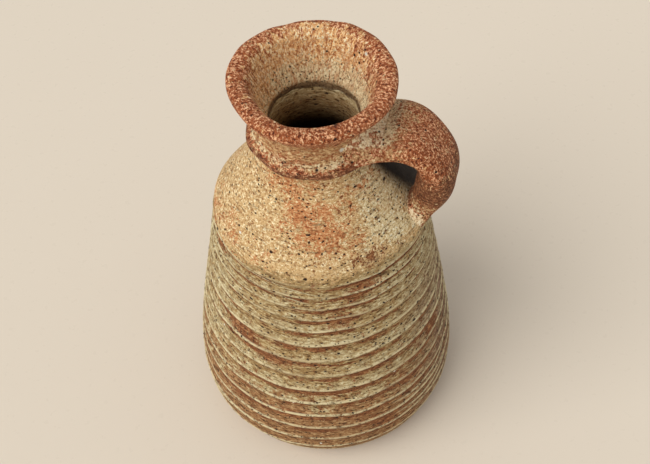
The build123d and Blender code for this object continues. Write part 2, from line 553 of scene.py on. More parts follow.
    def broken(
        self,
        share: Socket,
        size: float,
        spread: float,
        grain: float = 2.2,
        where: Socket | None = None,
    ) -> Socket:
        """A share laid down as grains: its edge drifts with clouds and crumbles into flecks.

        Args:
            share: the share, 0 to 1.
            size: size of the clouds.
            spread: how far the clouds move the edge.
            grain: how far single flecks stray over the edge.
            where: coordinates, plain Object ones if left out.

        Returns:
            The broken share.
        """
        total = self.sums(Sum.SUBTRACT, share, 0.5 * (spread + grain))
        for breadth, reach, detail in ((size, spread, 4.0), (1.2, grain, 3.0)):
            clouds = self.noise(breadth, detail, 0.75, where)
            total = self.sums(Sum.MULTIPLY_ADD, clouds, reach, total)
        return self.step(total, 0.38, 0.62)

    def kept_in(self, name: str, value: Socket) -> Socket:
        """The value where anything at all is painted under that name, and 0 elsewhere."""
        return self.times(value, self.step(self.painted(name), 0.0, 0.06))

    def ragged(self, where: Socket, size: float, reach: float) -> Socket:
        """Coordinates pushed about by clouds, so that round forms turn ragged.

        Args:
            where: coordinates to push.
            size: size of the clouds.
            reach: how far they push.

        Returns:
            The new coordinates.
        """
        node = self.pattern("ShaderNodeTexNoise", size, where, {})
        push = self.add("ShaderNodeVectorMath", operation="MULTIPLY_ADD")
        self.feed(push.inputs[0], node.outputs["Color"])
        push.inputs[1].default_value = (reach, reach, reach)
        self.feed(push.inputs[2], where)
        return push.outputs["Vector"]

    def line(self, name: str, core: float, edge: float) -> Socket:
        """A fine line where a painted phase passes zero.

        The phase is painted as (cos, sin, strength); its angle is read back at each place.

        Args:
            name: the painted phase.
            core: half width of the full line, in turns of the phase.
            edge: where it has faded out, in turns.

        Returns:
            The line's mask, times its strength.
        """
        x, y, strength = self.phase(name)
        away = self.sums(Sum.ABSOLUTE, self.sums(Sum.ARCTAN2, y, x))
        return self.times(self.step(away, edge * 2 * np.pi, core * 2 * np.pi), strength)

    def phase(self, name: str) -> tuple[Socket, Socket, Socket]:
        """A painted phase, taken apart.

        Args:
            name: the painted phase.

        Returns:
            Its cos, sin and strength.
        """
        split = self.add("ShaderNodeSeparateXYZ")
        node = self.add("ShaderNodeAttribute", attribute_name=name)
        self.feed(split.inputs["Vector"], node.outputs["Vector"])
        return tuple(split.outputs)

    def mottled(
        self, ground: Clay, layers: list[tuple[Socket, Clay]], fine: Socket, low: float, high: float
    ) -> Socket:
        """Clays laid over each other, and all of them flecked by one fine pattern.

        Args:
            ground: the clay underneath.
            layers: share and clay of each layer, in order.
            fine: the fleck pattern.
            low: below this the dark flecks lie.
            high: above this the pale ones lie.

        Returns:
            The colour.
        """
        parts = [ground.dark, ground.body, ground.pale]
        for share, clay in layers:
            parts = [self.blend(share, under, over) for under, over in zip(parts, clay.tones())]
        colour = self.blend(self.step(fine, low, low - 0.06), parts[1], parts[0])
        return self.blend(self.step(fine, high, high + 0.05), colour, parts[2])

    def grains(
        self, cell: float, radius: float, share: float, where: Socket | None = None
    ) -> Socket:
        """Scattered round grains, 1 on a grain.

        Args:
            cell: usual distance between places for a grain.
            radius: usual radius of a grain; they run from half to one and a half of it.
            share: share of the places that hold one.
            where: coordinates, plain Object ones if left out.

        Returns:
            The grains' mask.
        """
        node = self.pattern("ShaderNodeTexVoronoi", cell, where, {})
        pick = self.add("ShaderNodeSeparateColor")
        self.feed(pick.inputs["Color"], node.outputs["Color"])
        chosen = self.sums(Sum.LESS_THAN, pick.outputs["Red"], share)
        size = radius / cell
        reach = self.sums(Sum.MULTIPLY_ADD, pick.outputs["Green"], size, 0.5 * size)
        inside = self.sums(Sum.SUBTRACT, reach, node.outputs["Distance"])
        return self.times(chosen, self.step(inside, -0.35 * size, 0.35 * size))

    def dress(self, colour: Socket, rough: Socket, relief: list[tuple[Socket, float]]) -> Material:
        """Finishes the surface.

        Args:
            colour: colour of the surface.
            rough: its roughness.
            relief: heights that stand out of it, each with its reach in millimetres.

        Returns:
            The material.
        """
        normal = None
        for height, reach in relief:
            bump = self.add("ShaderNodeBump")
            self.feed(bump.inputs["Height"], height)
            bump.inputs["Distance"].default_value = reach * MM
            if normal is not None:
                self.feed(bump.inputs["Normal"], normal)
            normal = bump.outputs["Normal"]
        self.feed(self.shader.inputs["Base Color"], colour)
        self.feed(self.shader.inputs["Roughness"], rough)
        self.feed(self.shader.inputs["Normal"], normal)
        self.shader.inputs["Specular IOR Level"].default_value = SHEEN
        return self.material


@dataclass(frozen=True)
class RibbedStoneware:
    """The body's finish: warm sand on the dome, ash with painted light above the crests, rust with
    painted shade below them.
    """

    sand: Clay = Clay(Tone(150, 100, 56), Tone(210, 174, 121), Tone(252, 234, 190))
    # cream clay, also painted light on the dome's shaded side near the handle
    cream_and_light: Clay = Clay(Tone(156, 120, 76), Tone(230, 208, 158), Tone(255, 248, 218))
    blush: Clay = Clay(Tone(142, 80, 44), Tone(192, 126, 78), Tone(232, 186, 134))
    khaki: Clay = Clay(Tone(84, 55, 28), Tone(162, 131, 84), Tone(206, 186, 138))
    rust: Clay = Clay(Tone(80, 42, 22), Tone(132, 80, 46), Tone(176, 126, 80))
    ash: Clay = Clay(Tone(112, 84, 50), Tone(182, 160, 116), Tone(216, 204, 164))
    brown: Clay = Clay(Tone(76, 44, 22), Tone(148, 106, 66), Tone(194, 158, 112))
    mauve: Clay = Clay(Tone(86, 60, 44), Tone(134, 103, 79), Tone(170, 142, 112))
    slip_and_highlight: Tone = Tone(220, 203, 160)
    iron: Tone = Tone(48, 30, 20)
    grit: Tone = Tone(226, 220, 202)
    shade: Tone = Tone(236, 214, 196)
    # tone of the painted shade under the handle's arch and deep inside the hollow
    painted_shade_tone: Tone = Tone(38, 27, 17)

    def material(self) -> Material:
        """Makes the material.

        Returns:
            The material.
        """
        c = Canvas("ribbed_stoneware")
        plain = c.place((1, 1, 1))
        scraped = c.noise(0.95, 3.0, 0.8, c.place((3.6, 3.6, 1.0)), 0.3)
        grainy = c.noise(1.05, 3.0, 0.85, c.place((1.35, 1.35, 1.0)), 0.3)
        fine = c.mix(c.painted("dome"), scraped, grainy)
        mottle = c.noise(5.0, 6.0, 0.8)
        streaks = c.noise(1.0, 6.0, 0.75, c.place((14, 14, 4.0)))
        lines = c.noise(1.0, 4.0, 0.7, c.place((9, 9, 1.1)))
        _, side, worn = c.phase("rib")
        # the half of each groove under a crest takes rust and painted shade, the half above it ash
        # and painted light
        below = c.times(c.step(side, 0.45, -0.45), worn)
        above = c.times(c.step(side, -0.1, 0.9), worn)
        clouds = c.noise(26.0, 2.0, 0.6, c.place((1.6, 1.6, 1.0)))
        patchy = c.sums(Sum.MULTIPLY_ADD, clouds, 0.45, streaks)
        patchy = c.sums(Sum.MULTIPLY_ADD, c.painted("fired"), 0.22, patchy)
        burnt_and_under_crest_shade = c.most(c.step(below, 0.0, 0.8), c.times(c.painted("fired"), 0.7))
        rust_and_shade = c.times(c.step(patchy, 0.66, 0.82), burnt_and_under_crest_shade)
        ash_and_lit = c.most(c.step(above, 0.0, 1.0, 0.6), c.painted("ash"))
        layers = [
            (c.broken(ash_and_lit, 6.0, 2.0, 1.2), self.ash),
            (c.broken(c.painted("low"), 8.0, 2.5, 1.5), self.brown),
            (c.times(c.painted("mauve"), c.step(mottle, 0.32, 0.56)), self.mauve),
            (c.broken(rust_and_shade, 3.0, 1.0, 1.2), self.rust),
            (c.broken(c.painted("dome"), 6.0, 1.8), self.sand),
            (c.kept_in("cream_and_light", c.broken(c.painted("cream_and_light"), 9.0, 2.6, 2.8)), self.cream_and_light),
            (c.kept_in("blush", c.broken(c.painted("blush"), 10.0, 3.0, 3.4)), self.blush),
            (c.broken(c.painted("smear"), 4.0, 3.0), self.rust),
        ]
        colour = c.mottled(self.khaki, layers, fine, 0.45, 0.545)
        colour = c.blend(c.step(mottle, 0.46, 0.28, 0.42), colour, self.brown.dark)
        colour = c.blend(c.step(lines, 0.46, 0.34, 0.55), colour, self.khaki.dark)
        crest = c.most(c.line("rib", 0.040, 0.15), c.line("fork", 0.018, 0.070))
        crest = c.times(crest, c.step(c.noise(3.0, 4.0, 0.75), 0.34, 0.50, 0.96))
        # the pale line on each crest: slip, and a painted highlight along the crest's top
        colour = c.blend(crest, colour, self.slip_and_highlight)
        colour = c.blend(c.grains(7.0, 0.55, 0.10, c.ragged(plain, 1.0, 0.9)), colour, self.grit)
        ragged = c.ragged(c.place((1.6, 1.6, 1.0)), 0.8, 0.9)
        small, middling = c.grains(1.3, 0.27, 0.50, ragged), c.grains(3.4, 0.43, 0.34, ragged)
        iron = c.most(small, middling, c.grains(14.0, 0.85, 0.26, ragged))
        colour = c.blend(iron, colour, self.iron)
        # painted shade inside the bore, deepening downwards
        colour = c.blend(c.painted("inner"), colour, self.shade, "MULTIPLY")
        # painted shade: the dome under the handle's arch, and the hollow darkening towards black
        # deep inside
        colour = c.blend(c.painted("painted_shade"), colour, self.painted_shade_tone, "MULTIPLY")
        rough = c.sums(Sum.ADD, c.step(mottle, 0.2, 0.8, 0.2), 0.70)
        pits = c.times(iron, -1.0)
        return c.dress(colour, rough, [(crest, 0.5), (lines, 0.35), (fine, 0.35), (pits, 0.25)])


@dataclass(frozen=True)
class RustClay:
    """What the rim's finish and the joint clay's have in common."""

    rust: Clay
    ash: Clay
    sand: Clay = Clay(Tone(126, 80, 48), Tone(190, 146, 98), Tone(230, 200, 150))
    # smoke-dark clay, also laid as painted shade under the collar's ridge and on the strap's far
    # side
    smoke_and_shade: Clay = Clay(Tone(74, 38, 22), Tone(118, 70, 42), Tone(178, 122, 84))
    # tone of the painted shade in the joint's crease
    crease_shade: Tone = Tone(158, 142, 124)
    iron: Tone = Tone(44, 28, 20)

    def patterns(self, c: Canvas) -> tuple[Socket, Socket]:
        """The broad mottle, and the fine flecks along the flow."""
        return c.noise(4.0, 6.0, 0.8), c.noise(0.94, 3.0, 0.8, c.flow((1, 1, 1.5)), 0.4)

    def ground(
        self, c: Canvas, layers: list[tuple[Socket, Clay]], mottle: Socket, fine: Socket
    ) -> Socket:
        """The layers over the rust, with dark clouds."""
        colour = c.mottled(self.rust, layers, fine, 0.455, 0.535)
        return c.blend(c.step(mottle, 0.50, 0.30, 0.55), colour, self.rust.dark)

    def specked(self, c: Canvas, colour: Socket, iron: Socket) -> Socket:
        """The colour with its iron specks, and painted shade in the joint's crease."""
        colour = c.blend(iron, colour, self.iron)
        return c.blend(c.painted("crease_shade"), colour, self.crease_shade, "MULTIPLY")


@dataclass(frozen=True)
class RimStoneware(RustClay):
    """The collar's and strap's finish: flecked rust, with golden ash inside the funnel."""

    rust: Clay = Clay(Tone(84, 35, 18), Tone(160, 86, 46), Tone(244, 188, 142))
    ash: Clay = Clay(Tone(112, 80, 50), Tone(221, 193, 147), Tone(244, 228, 186))
    gold: Clay = Clay(Tone(150, 78, 36), Tone(240, 188, 126), Tone(255, 242, 200))
    flame: Tone = Tone(186, 112, 60)
    grit: Tone = Tone(214, 208, 190)

    def material(self) -> Material:
        """Makes the material.

        Returns:
            The material.
        """
        c = Canvas("rim_stoneware")
        plain = c.place((1, 1, 1))
        mottle, fine = self.patterns(c)
        layers = [
            (c.broken(c.painted("smoke_and_shade"), 5.0, 1.5), self.smoke_and_shade),
            (c.broken(c.painted("gold"), 2.6, 2.4, 2.4, c.flow((1, 1, 2.6))), self.gold),
            (c.broken(c.painted("sand"), 5.0, 1.8, 2.6), self.sand),
            (c.broken(c.painted("ash"), 4.0, 2.2, 2.4), self.ash),
        ]
        colour = self.ground(c, layers, mottle, fine)
        licked = c.step(c.noise(1.9, 5.0, 0.8, c.flow((1, 1, 3.0))), 0.48, 0.60, 0.56)
        colour = c.blend(c.times(licked, c.painted("gold")), colour, self.flame)
        bare = c.times(c.painted("gold"), c.step(c.painted("ash"), 0.55, 0.1))
        flecked = c.step(c.noise(1.3, 3.0, 0.8, c.flow((1, 1, 1.8)), 0.4), 0.52, 0.57, 0.60)
        colour = c.blend(c.times(flecked, bare), colour, self.rust.body)
        banded = c.step(c.noise(3.0, 5.0, 0.8, c.flow((1, 1, 0.6))), 0.50, 0.58, 0.72)
        colour = c.blend(c.times(banded, c.painted("sand")), colour, self.rust.body)
        ragged = c.ragged(plain, 0.8, 0.9)
        colour = c.blend(c.grains(9.0, 0.9, 0.20, c.ragged(plain, 1.2, 1.6)), colour, self.grit)
        peppered = c.times(c.grains(1.4, 0.30, 0.50, ragged), c.step(c.painted("ash"), 0.2, 0.6))
        small, large = c.grains(2.6, 0.40, 0.26, ragged), c.grains(8.0, 0.65, 0.35, ragged)
        iron = c.most(small, large, peppered)
        rough = c.sums(Sum.ADD, c.step(mottle, 0.2, 0.8, 0.2), 0.66)
        relief = [(fine, 0.45), (mottle, 0.40), (c.times(iron, -1.0), 0.2)]
        return c.dress(self.specked(c, colour, iron), rough, relief)


@dataclass(frozen=True)
class JointClay(RustClay):
    """The worked clay's finish: the rim's rust, rubbed, with pale ash caught in it."""

    rust: Clay = Clay(Tone(84, 35, 18), Tone(162, 88, 51), Tone(246, 194, 152))
    ash: Clay = Clay(Tone(178, 138, 98), Tone(240, 214, 170), Tone(252, 240, 208))
    umber: Clay = Clay(Tone(110, 88, 64), Tone(168, 144, 110), Tone(204, 184, 148))

    def material(self) -> Material:
        """Makes the material.

        Returns:
            The material.
        """
        c = Canvas("joint_clay")
        mottle, fine = self.patterns(c)
        drifts = c.sums(Sum.ADD, c.step(c.noise(9.0, 3.0, 0.6), 0.44, 0.54, 0.52), 0.50)
        layers = [
            (c.broken(c.painted("smoke_and_shade"), 5.0, 1.5), self.smoke_and_shade),
            (c.broken(c.painted("sand"), 5.0, 1.8, 2.6), self.sand),
            (c.broken(c.times(c.painted("ash"), drifts), 5.0, 3.0, 2.0), self.ash),
            (c.painted("umber"), self.umber),
        ]
        colour = self.ground(c, layers, mottle, fine)
        ragged = c.ragged(c.place((1, 1, 1)), 0.8, 0.9)
        iron = c.most(c.grains(2.4, 0.40, 0.30, ragged), c.grains(7.0, 0.65, 0.35, ragged))
        rough = c.sums(Sum.ADD, c.step(mottle, 0.2, 0.8, 0.2), 0.68)
        return c.dress(self.specked(c, colour, iron), rough, [(fine, 0.40), (mottle, 0.35)])


# ---------------------------------------------------------------- the vase's pieces


@dataclass
class ThrownBody:
    """The body, thrown in one go: foot, ribbed wall, dome, spigot and hollow."""

    foot_radius: float = 64.5
    belly_radius: float = 73.4
    belly_height: float = 27.5
    shoulder_radius: float = 51.7
    shoulder_height: float = 154.0
    dome_height: float = 203.5
    spigot_radius: float = 23.4
    spigot_height: float = 207.5
    throat_radius: float = 20.6
    wall: float = 6.6
    floor: float = 7.0
    hollow_ends: Outline = ((42.0, 168.0), (71.8, 15.0))
    hollow_points: int = 26
    floor_radii: tuple[float, ...] = (52.0, 26.0, 4.0)
    foot_radii: tuple[float, ...] = (4.0, 30.0, 56.0, 63.4)
    inner_spacing: float = 7.0
    rib_start_angle: float = 190.0
    rib_start_height: float = 5.0
    rib_pitch: float = 11.3
    rib_closing_turn: float = 9.0
    rib_closed_share: float = 0.66
    rib_depth: float = 1.25
    bead: float = 0.35
    columns: int = 360
    spacing: float = 0.95
    tuck: tuple[float, float, float] = (9.8, 52.0, 11.5)
    rise: tuple[float, float, float] = (23.8, 35.0, 99.1)
    curve: tuple[float, float, float, float] = (8.0, 117.0, 21.0, 105.0)

    def outline(self) -> Track:
        """The outside: tuck, wall and dome, three cubics, and the spigot's straight edge.

        Each cubic's handles are held as lengths, with their angle from level after them
        where they don't stand upright.

        Returns:
            The line from the foot's edge to the spigot's top.
        """
        foot = np.array([self.foot_radius, 0.0])
        belly = np.array([self.belly_radius, self.belly_height])
        shoulder = np.array([self.shoulder_radius, self.shoulder_height])
        spigot = np.array([self.spigot_radius, self.dome_height])
        up = heading(90)
        out, lean, under = self.tuck
        tuck = bezier(foot, foot + out * heading(lean), belly - under * up, belly)
        over, below, lean = self.rise
        wall = bezier(belly, belly + over * up, shoulder - below * heading(lean), shoulder)
        above, lean, short, steep = self.curve
        leave, arrive = above * heading(lean), short * heading(steep)
        dome = bezier(shoulder, shoulder + leave, spigot - arrive, spigot)
        top = [[self.spigot_radius, self.spigot_height]]
        return Track(np.vstack([tuck, wall[1:], dome[1:], top]))

    def turns_at(self, height: Grid) -> Grid:
        """Turns of the spiral below a height.

        The pitch is even up to the closing turn, then shrinks over two turns to its closed
        share and stays there, so the heights are added up and read backwards.

        Args:
            height: heights in millimetres.

        Returns:
            The turns.
        """
        turn = np.linspace(-1.0, 16.0, 1701)
        share = 1 - (1 - self.rib_closed_share) * np.clip((turn - self.rib_closing_turn) / 2, 0, 1)
        rise = np.cumsum(share) * self.rib_pitch * (turn[1] - turn[0])
        rise += self.rib_start_height - np.interp(0.0, turn, rise)
        return np.interp(height, rise, turn)

    def marks(self, angle: Grid, height: Grid) -> tuple[Grid, Grid, Grid]:
        """Finger marks on the wall.

        The phase is the turns below a point less its own bearing in turns, so that a crest
        runs where it is whole. Upwards from a crest the groove deepens slowly and ends under
        the next one: sin(pi * phase^1.3) to the power 1.1. A bead stands on each crest, which
        the finish paints pale as slip with a painted highlight, and stray lines that drift from
        one crest to the next make its forks.

        Args:
            angle: (columns,) bearings in radians.
            height: (rows, 1) heights in millimetres.

        Returns:
            The relief in millimetres, and the two painted phases (cos, sin, strength).
        """
        sway = 0.50 * Ripple(3, 5, 90).at(angle, height)
        sway = sway + 0.20 * Ripple(8, 17, 30).at(angle, height)
        turns = self.turns_at(height + sway)
        phase = turns - (np.degrees(angle) - self.rib_start_angle) / 360.0
        strength = np.clip(0.95 + 0.22 * Ripple(5, 7, 45).at(angle, height), 0.35, 1.4)
        top = height + 1.5 * Ripple(6, 5, 60).at(angle, height)
        shown = smooth(1.0, 9.0, height) * smooth(157.0, 146.0, top)
        part = phase % 1.0
        groove = np.sin(np.pi * part**1.3) ** 1.1
        away = np.abs((phase + 0.5) % 1.0 - 0.5)
        drift = phase + 0.5 + 0.42 * Ripple(11, 3, 160).at(angle, height)
        forks = smooth(0.4, 1.2, Ripple(12, 4, 55).at(angle, height)) * shown
        stray = np.abs((drift + 0.5) % 1.0 - 0.5)
        bead = hump(0.0, 0.09, away) + 0.6 * hump(0.0, 0.06, stray) * forks
        relief = strength * (self.bead * bead - self.rib_depth * groove)
        return relief * shown, phase_paint(phase, strength * shown), phase_paint(drift, forks)

    def inside(self) -> Grid:
        """The inside, from the spigot's rim down to the floor's middle.

        Between bore and floor it follows the outside, one wall's thickness in from it.

        Returns:
            (n, 2) radii and heights.
        """
        outer, throat = self.outline(), self.throat_radius
        high, low = (outer.nearest(np.array(end)) for end in self.hollow_ends)
        places = np.linspace(high, low, self.hollow_points)
        outward = outer.along(places) @ np.array([[0.0, -1.0], [1.0, 0.0]])
        hollow = outer.at(places) - outward * self.wall
        top = self.spigot_height - 0.4
        bore = [[throat, top], [throat, 198.0], [throat + 0.4, 193.5], [24.6, 183.0]]
        floor = [[58.0, self.floor + 1.2], *([radius, self.floor] for radius in self.floor_radii)]
        return Track(flowing(np.vstack([bore, hollow, floor]))).spaced(self.inner_spacing)

    def build(self) -> Piece:
        """Builds the body as one closed skin and paints where its finishes lie.

        Returns:
            The piece.
        """
        angle = bearings(self.columns)
        base = [[radius, 0.0] for radius in self.foot_radii]
        outside = self.outline().spaced(self.spacing)
        edges = (self.spigot_radius - 0.6, self.throat_radius + 0.4)
        rim = [[across, self.spigot_height] for across in edges]
        rows = np.vstack([base, outside, rim, self.inside()])
        shown = np.zeros((len(rows), 1))
        shown[len(base):len(base) + len(outside)] = 1.0
        height = rows[:, 1:2] * np.ones(len(angle))
        relief, rib, fork = self.marks(angle, rows[:, 1:2])
        low = 0.35 * Ripple(2, 4, 120).at(angle, height) * smooth(200.0, 180.0, height)
        radius = rows[:, :1] + (relief + low * smooth(0.0, 6.0, height)) * shown
        points = turned_points(np.stack([radius, height], axis=-1), angle)
        edge = height + 2.2 * Ripple(21, 6, 80).at(angle, height)
        away, front = turn_from(angle, 0.0), turn_from(angle, -75.0)
        mauve = smooth(28.0, 70.0, front) * smooth(165.0, 140.0, front)
        mauve = mauve * smooth(150.0, 90.0, height)
        # painted shade deep in the hollow, darker downwards
        deep_painted_shade = 0.8 * smooth(200.0, 170.0, height)
        only = np.dstack([np.ones_like(shown), np.ones_like(shown), shown])
        paint = {
            "rib": rib * only,
            "fork": fork * only,
            "dome": smooth(145.0, 160.0, edge) * shown,
            "blush": self.blush(angle, height) * shown,
            # pale cream on the dome before the handle: the clay's tone, and painted light on its
            # shaded side
            "cream_and_light": 0.9 * hump(-16.0, 30.0, away) * smooth(152.0, 160.0, edge) * shown,
            "smear": 0.62 * hump(-47.0, 12.0, away) * hump(156.0, 3.2, edge) * shown,
            "fired": self.fired(angle, edge) * shown,
            "low": smooth(100.0, 30.0, height) * shown,
            "ash": np.where(shown > 0, self.ash_and_painted_light(angle, height), height > 1.0),
            "mauve": mauve * shown,
            # painted shade: under the handle's arch outside, deep in the hollow inside
            "painted_shade": np.where(shown > 0, self.painted_handle_shadow(away, height), deep_painted_shade),
            # painted shade on the inside below the spigot's top
            "inner": np.clip(1 - shown - (height < 1.0), 0, 1) * smooth(207.0, 198.0, height),
        }
        piece = build_mesh("ribbed_body", points, Close.CAPS, paint)
        piece.data.materials.append(RibbedStoneware().material())
        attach(piece, "root")
        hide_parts("thrown_body")
        return piece

    def painted_handle_shadow(self, away: Grid, height: Grid) -> Grid:
        """Painted shadow on the dome under the handle's arch, its near edge slanting down to the
        heel.

        Args:
            away: (columns,) bearings from the handle in degrees.
            height: (rows, columns) heights.

        Returns:
            The painted shadow, 0 to 1.
        """
        edge = 3.0 - 0.63 * (height - 164.0)
        lee = smooth(edge - 7.0, edge + 9.0, away) * smooth(39.0, 26.0, away)
        return lee * smooth(150.0, 160.0, height)

    def ash_and_painted_light(self, angle: Grid, height: Grid) -> Grid:
        """Pale ash on the wall in drifts, and painted light on the upper wall under the handle's
        heel.

        Args:
            angle: (columns,) bearings in radians.
            height: (rows, columns) heights.

        Returns:
            The ash and painted light, 0 to 1.
        """
        drift = 0.45 * smooth(-0.6, 1.6, Ripple(31, 6, 60).at(angle, height))
        # painted light lifting the upper wall under the heel
        under = 0.7 * hump(-6.0, 24.0, turn_from(angle, 0.0)) * smooth(104.0, 120.0, height)
        return np.clip(drift + under, 0, 1)

    def fired(self, angle: Grid, height: Grid) -> Grid:
        """Patches of the wall that the flame touched.

        Args:
            angle: (columns,) bearings in radians.
            height: (rows, columns) heights.

        Returns:
            The sum of bells, each given by a bearing, a height and their widths, up to 1.
        """
        away = turn_from(angle, 0.0) + 4.0 * Ripple(35, 5, 70).at(angle, height)
        bells = (
            (-50, 142, 15, 8), (-66, 127, 13, 8), (-110, 96, 24, 7), (-84, 71, 30, 6),
            (-98, 47, 30, 6), (-54, 40, 16, 8), (-38, 62, 14, 8), (-12, 84, 14, 8),
            (-146, 149, 16, 6), (-126, 103, 13, 5), (150, 110, 24, 9), (120, 60, 30, 9),
            (80, 130, 22, 9), (45, 90, 26, 9), (60, 45, 24, 8), (170, 75, 22, 8),
        )
        heat = sum(
            hump(turn, wide, away) * hump(level, tall, height) for turn, level, wide, tall in bells
        )
        return np.clip(heat, 0, 1)

    def blush(self, angle: Grid, height: Grid) -> Grid:
        """Orange flushes on the dome.

        Args:
            angle: (columns,) bearings in radians.
            height: (rows, columns) heights.

        Returns:
            1 less the product of (1 - bell), each bell a strength, a bearing, a height and
            their widths.
        """
        away = turn_from(angle, 0.0) + 5.0 * Ripple(33, 4, 90).at(angle, height)
        rise = height + 3.0 * Ripple(34, 5, 80).at(angle, height)
        bells = (
            (0.74, -76, 183, 29, 11), (0.56, -64, 171, 18, 7), (0.50, -108, 192, 32, 5),
            (0.45, -155, 157, 22, 7), (0.35, -116, 162, 12, 5), (0.50, 145, 178, 34, 12),
            (0.45, 100, 165, 24, 9), (0.45, 50, 170, 20, 9),
        )
        bare = 1.0 - 0.30 * smooth(186.0, 197.0, rise)
        for most, bearing, level, wide, tall in bells:
            bare = bare * (1.0 - most * hump(bearing, wide, away) * hump(level, tall, rise))
        return 1.0 - bare


@dataclass
class MouthCollar:
    """The collar thrown apart and set over the spigot, with the coil inside its joint."""

    rim_radius: float = 37.0
    rim_height: float = 233.0
    throat_radius: float = 20.6
    joint_height: float = 207.5
    sway_out: float = 0.16
    sway_up: float = 0.20
    pinch: float = 1.1
    pinch_angle: float = -135.0
    coil_radius: float = 21.55
    coil_half_width: float = 1.35
    coil_half_height: float = 1.75
    coil_columns: int = 200
    coil_rows: int = 28
    seat: Outline = ((24.9, 192.3), (23.45, 203.0), (23.45, 207.55), (21.4, 207.6))
    seat_spacing: float = 2.0
    columns: int = 400
    spacing: float = 0.55

    def outside(self) -> Grid:
        """Points the outside flows through, from the lip's crown to the foot on the dome.

        Returns:
            (n, 2) radii and heights.
        """
        return np.array([self.rim_radius, self.rim_height]) - [
            (3.0, 0.0), (1.1, 0.5), (0.1, 2.0), (0.4, 3.8), (1.9, 5.5), (5.0, 9.3),
            (8.3, 14.2), (10.3, 18.6), (10.2, 23.0), (9.4, 26.6), (8.0, 28.6), (6.6, 29.9),
            (6.0, 31.3), (6.7, 32.8), (8.6, 33.9), (10.0, 35.8), (10.7, 38.4), (11.2, 41.0),
        ]

    def funnel(self) -> Grid:
        """Points the inside flows through, from the crease over the coil up to the lip's crown.

        Returns:
            (n, 2) radii and heights.
        """
        throat = self.throat_radius
        low = np.array([throat, self.joint_height]) + [(0.2, 1.0), (0.0, 2.6), (0.6, 4.8)]
        middle = np.array([throat, self.rim_height]) + [(2.1, -16.8), (3.7, -12.4)]
        high = np.array([self.rim_radius, self.rim_height]) - [
            (11.2, 8.2), (9.9, 4.8), (8.8, 2.4), (7.2, 0.9), (5.2, 0.2), (3.0, 0.0),
        ]
        return np.vstack([low, middle, high])

    def build(self) -> Piece:
        """Builds the collar as one closed skin, swayed most at its lip.

        Returns:
            The piece.
        """
        angle = bearings(self.columns)
        seat = Track(np.array(self.seat)).spaced(self.seat_spacing)
        funnel = Track(flowing(self.funnel())).spaced(self.spacing)
        outside = Track(flowing(self.outside())).spaced(self.spacing)
        rows = np.vstack([seat, funnel, outside[1:]])
        inside = np.zeros((len(rows), 1))
        inside[:len(seat) + len(funnel)] = 1.0
        height = rows[:, 1:2] * np.ones(len(angle))
        free = smooth(self.joint_height + 2, self.rim_height - 3, height)
        pinch = self.pinch * hump(self.pinch_angle, 24.0, turn_from(angle, 0.0))
        sway, waver, lift, ruffle, lump = (
            Ripple(*kind).at(angle, height)
            for kind in ((41, 4, 400), (42, 17, 60), (43, 5, 400), (44, 23, 90), (45, 11, 25))
        )
        out = self.sway_out * sway + 0.09 * waver
        up = self.sway_up * lift + 0.10 * ruffle
        ridge = 0.30 * lump * hump(201.5, 3.0, height) * (1 - inside)
        radius = rows[:, :1] + (out - pinch) * free + ridge
        points = turned_points(np.stack([radius, height + up * free], axis=-1), angle)
        piece = build_mesh("funnel_collar", points, Close.LOOP, self.paint(angle, rows, inside))
        piece.data.materials.append(RimStoneware().material())
        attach(piece, "root")
        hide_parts("mouth_collar")
        return piece

    def paint(self, angle: Grid, rows: Grid, inside: Grid) -> dict[str, Grid]:
        """Where the collar's finishes lie.

        Args:
            angle: (columns,) bearings in radians.
            rows: (rows, 2) outline.
            inside: (rows, 1) 1 inside the funnel.

        Returns:
            Painted values by name, and the flow of the funnel's streaks.
        """
        height = rows[:, 1:2] * np.ones(len(angle))
        radius = rows[:, :1] * np.ones(len(angle))
        far = hump(0.0, 52.0, turn_from(angle, 98.0))
        sides = hump(0.0, 42.0, turn_from(angle, 22.0))
        edge = 26.4 + 6.2 * far
        gold = smooth(edge + 6.0, edge - 6.0, radius) * inside * (1 - 0.50 * sides)
        left = hump(0.0, 50.0, turn_from(angle, -175.0))
        ash = smooth(227.0, 213.0, height) * inside * (1 - 0.55 * left)
        # painted highlight: a pale band along the ridge's top, laid with the ash clay
        ash = ash + 0.62 * hump(206.0, 1.9, height) * (1 - inside)
        sand = smooth(226.0, 214.0, height) * (0.8 + 0.2 * smooth(200.0, 197.0, height))
        # a dark band at the ridge's lower edge, sand taken out and smoke laid in: rust, and painted
        # shade under the ridge
        sand = sand * (1 - 0.95 * hump(202.0, 2.7, height)) * (1 - inside)
        smoke_and_shade = 1.2 * hump(201.4, 2.2, height) * (1 - inside)
        # painted shade in the crease just above the joint
        crease_shade = smooth(4.0, 0.8, height - self.joint_height) * inside
        neck = smooth(231.0, 224.0, rows[:, 1:2]) * (1 - inside)
        around = np.cumsum(self.spacing * (1 + 0.25 * neck), axis=0) * np.ones(len(angle))
        wide = 28 * (1 - 0.5 * neck)
        flow = np.stack([wide * np.cos(angle), wide * np.sin(angle), around], axis=-1)
        shares = {"gold": gold, "ash": ash, "sand": sand, "smoke_and_shade": smoke_and_shade, "crease_shade": crease_shade}
        return {**shares, "flow": flow}

    def build_coil(self) -> Piece:
        """Builds the coil: a ring of oval section, pressed in and out by the fingers.

        Returns:
            The piece.
        """
        angle, section = bearings(self.coil_columns), bearings(self.coil_rows)[:, None]
        press = 0.22 * Ripple(51, 13, 40).at(angle, 0 * section)
        radius = self.coil_radius - (self.coil_half_width + press) * np.cos(section)
        height = self.joint_height + (self.coil_half_height + press) * np.sin(section)
        height = height + 0.3 * Ripple(52, 6, 40).at(angle, 0 * section)
        points = turned_points(np.stack([radius, height], axis=-1), angle)
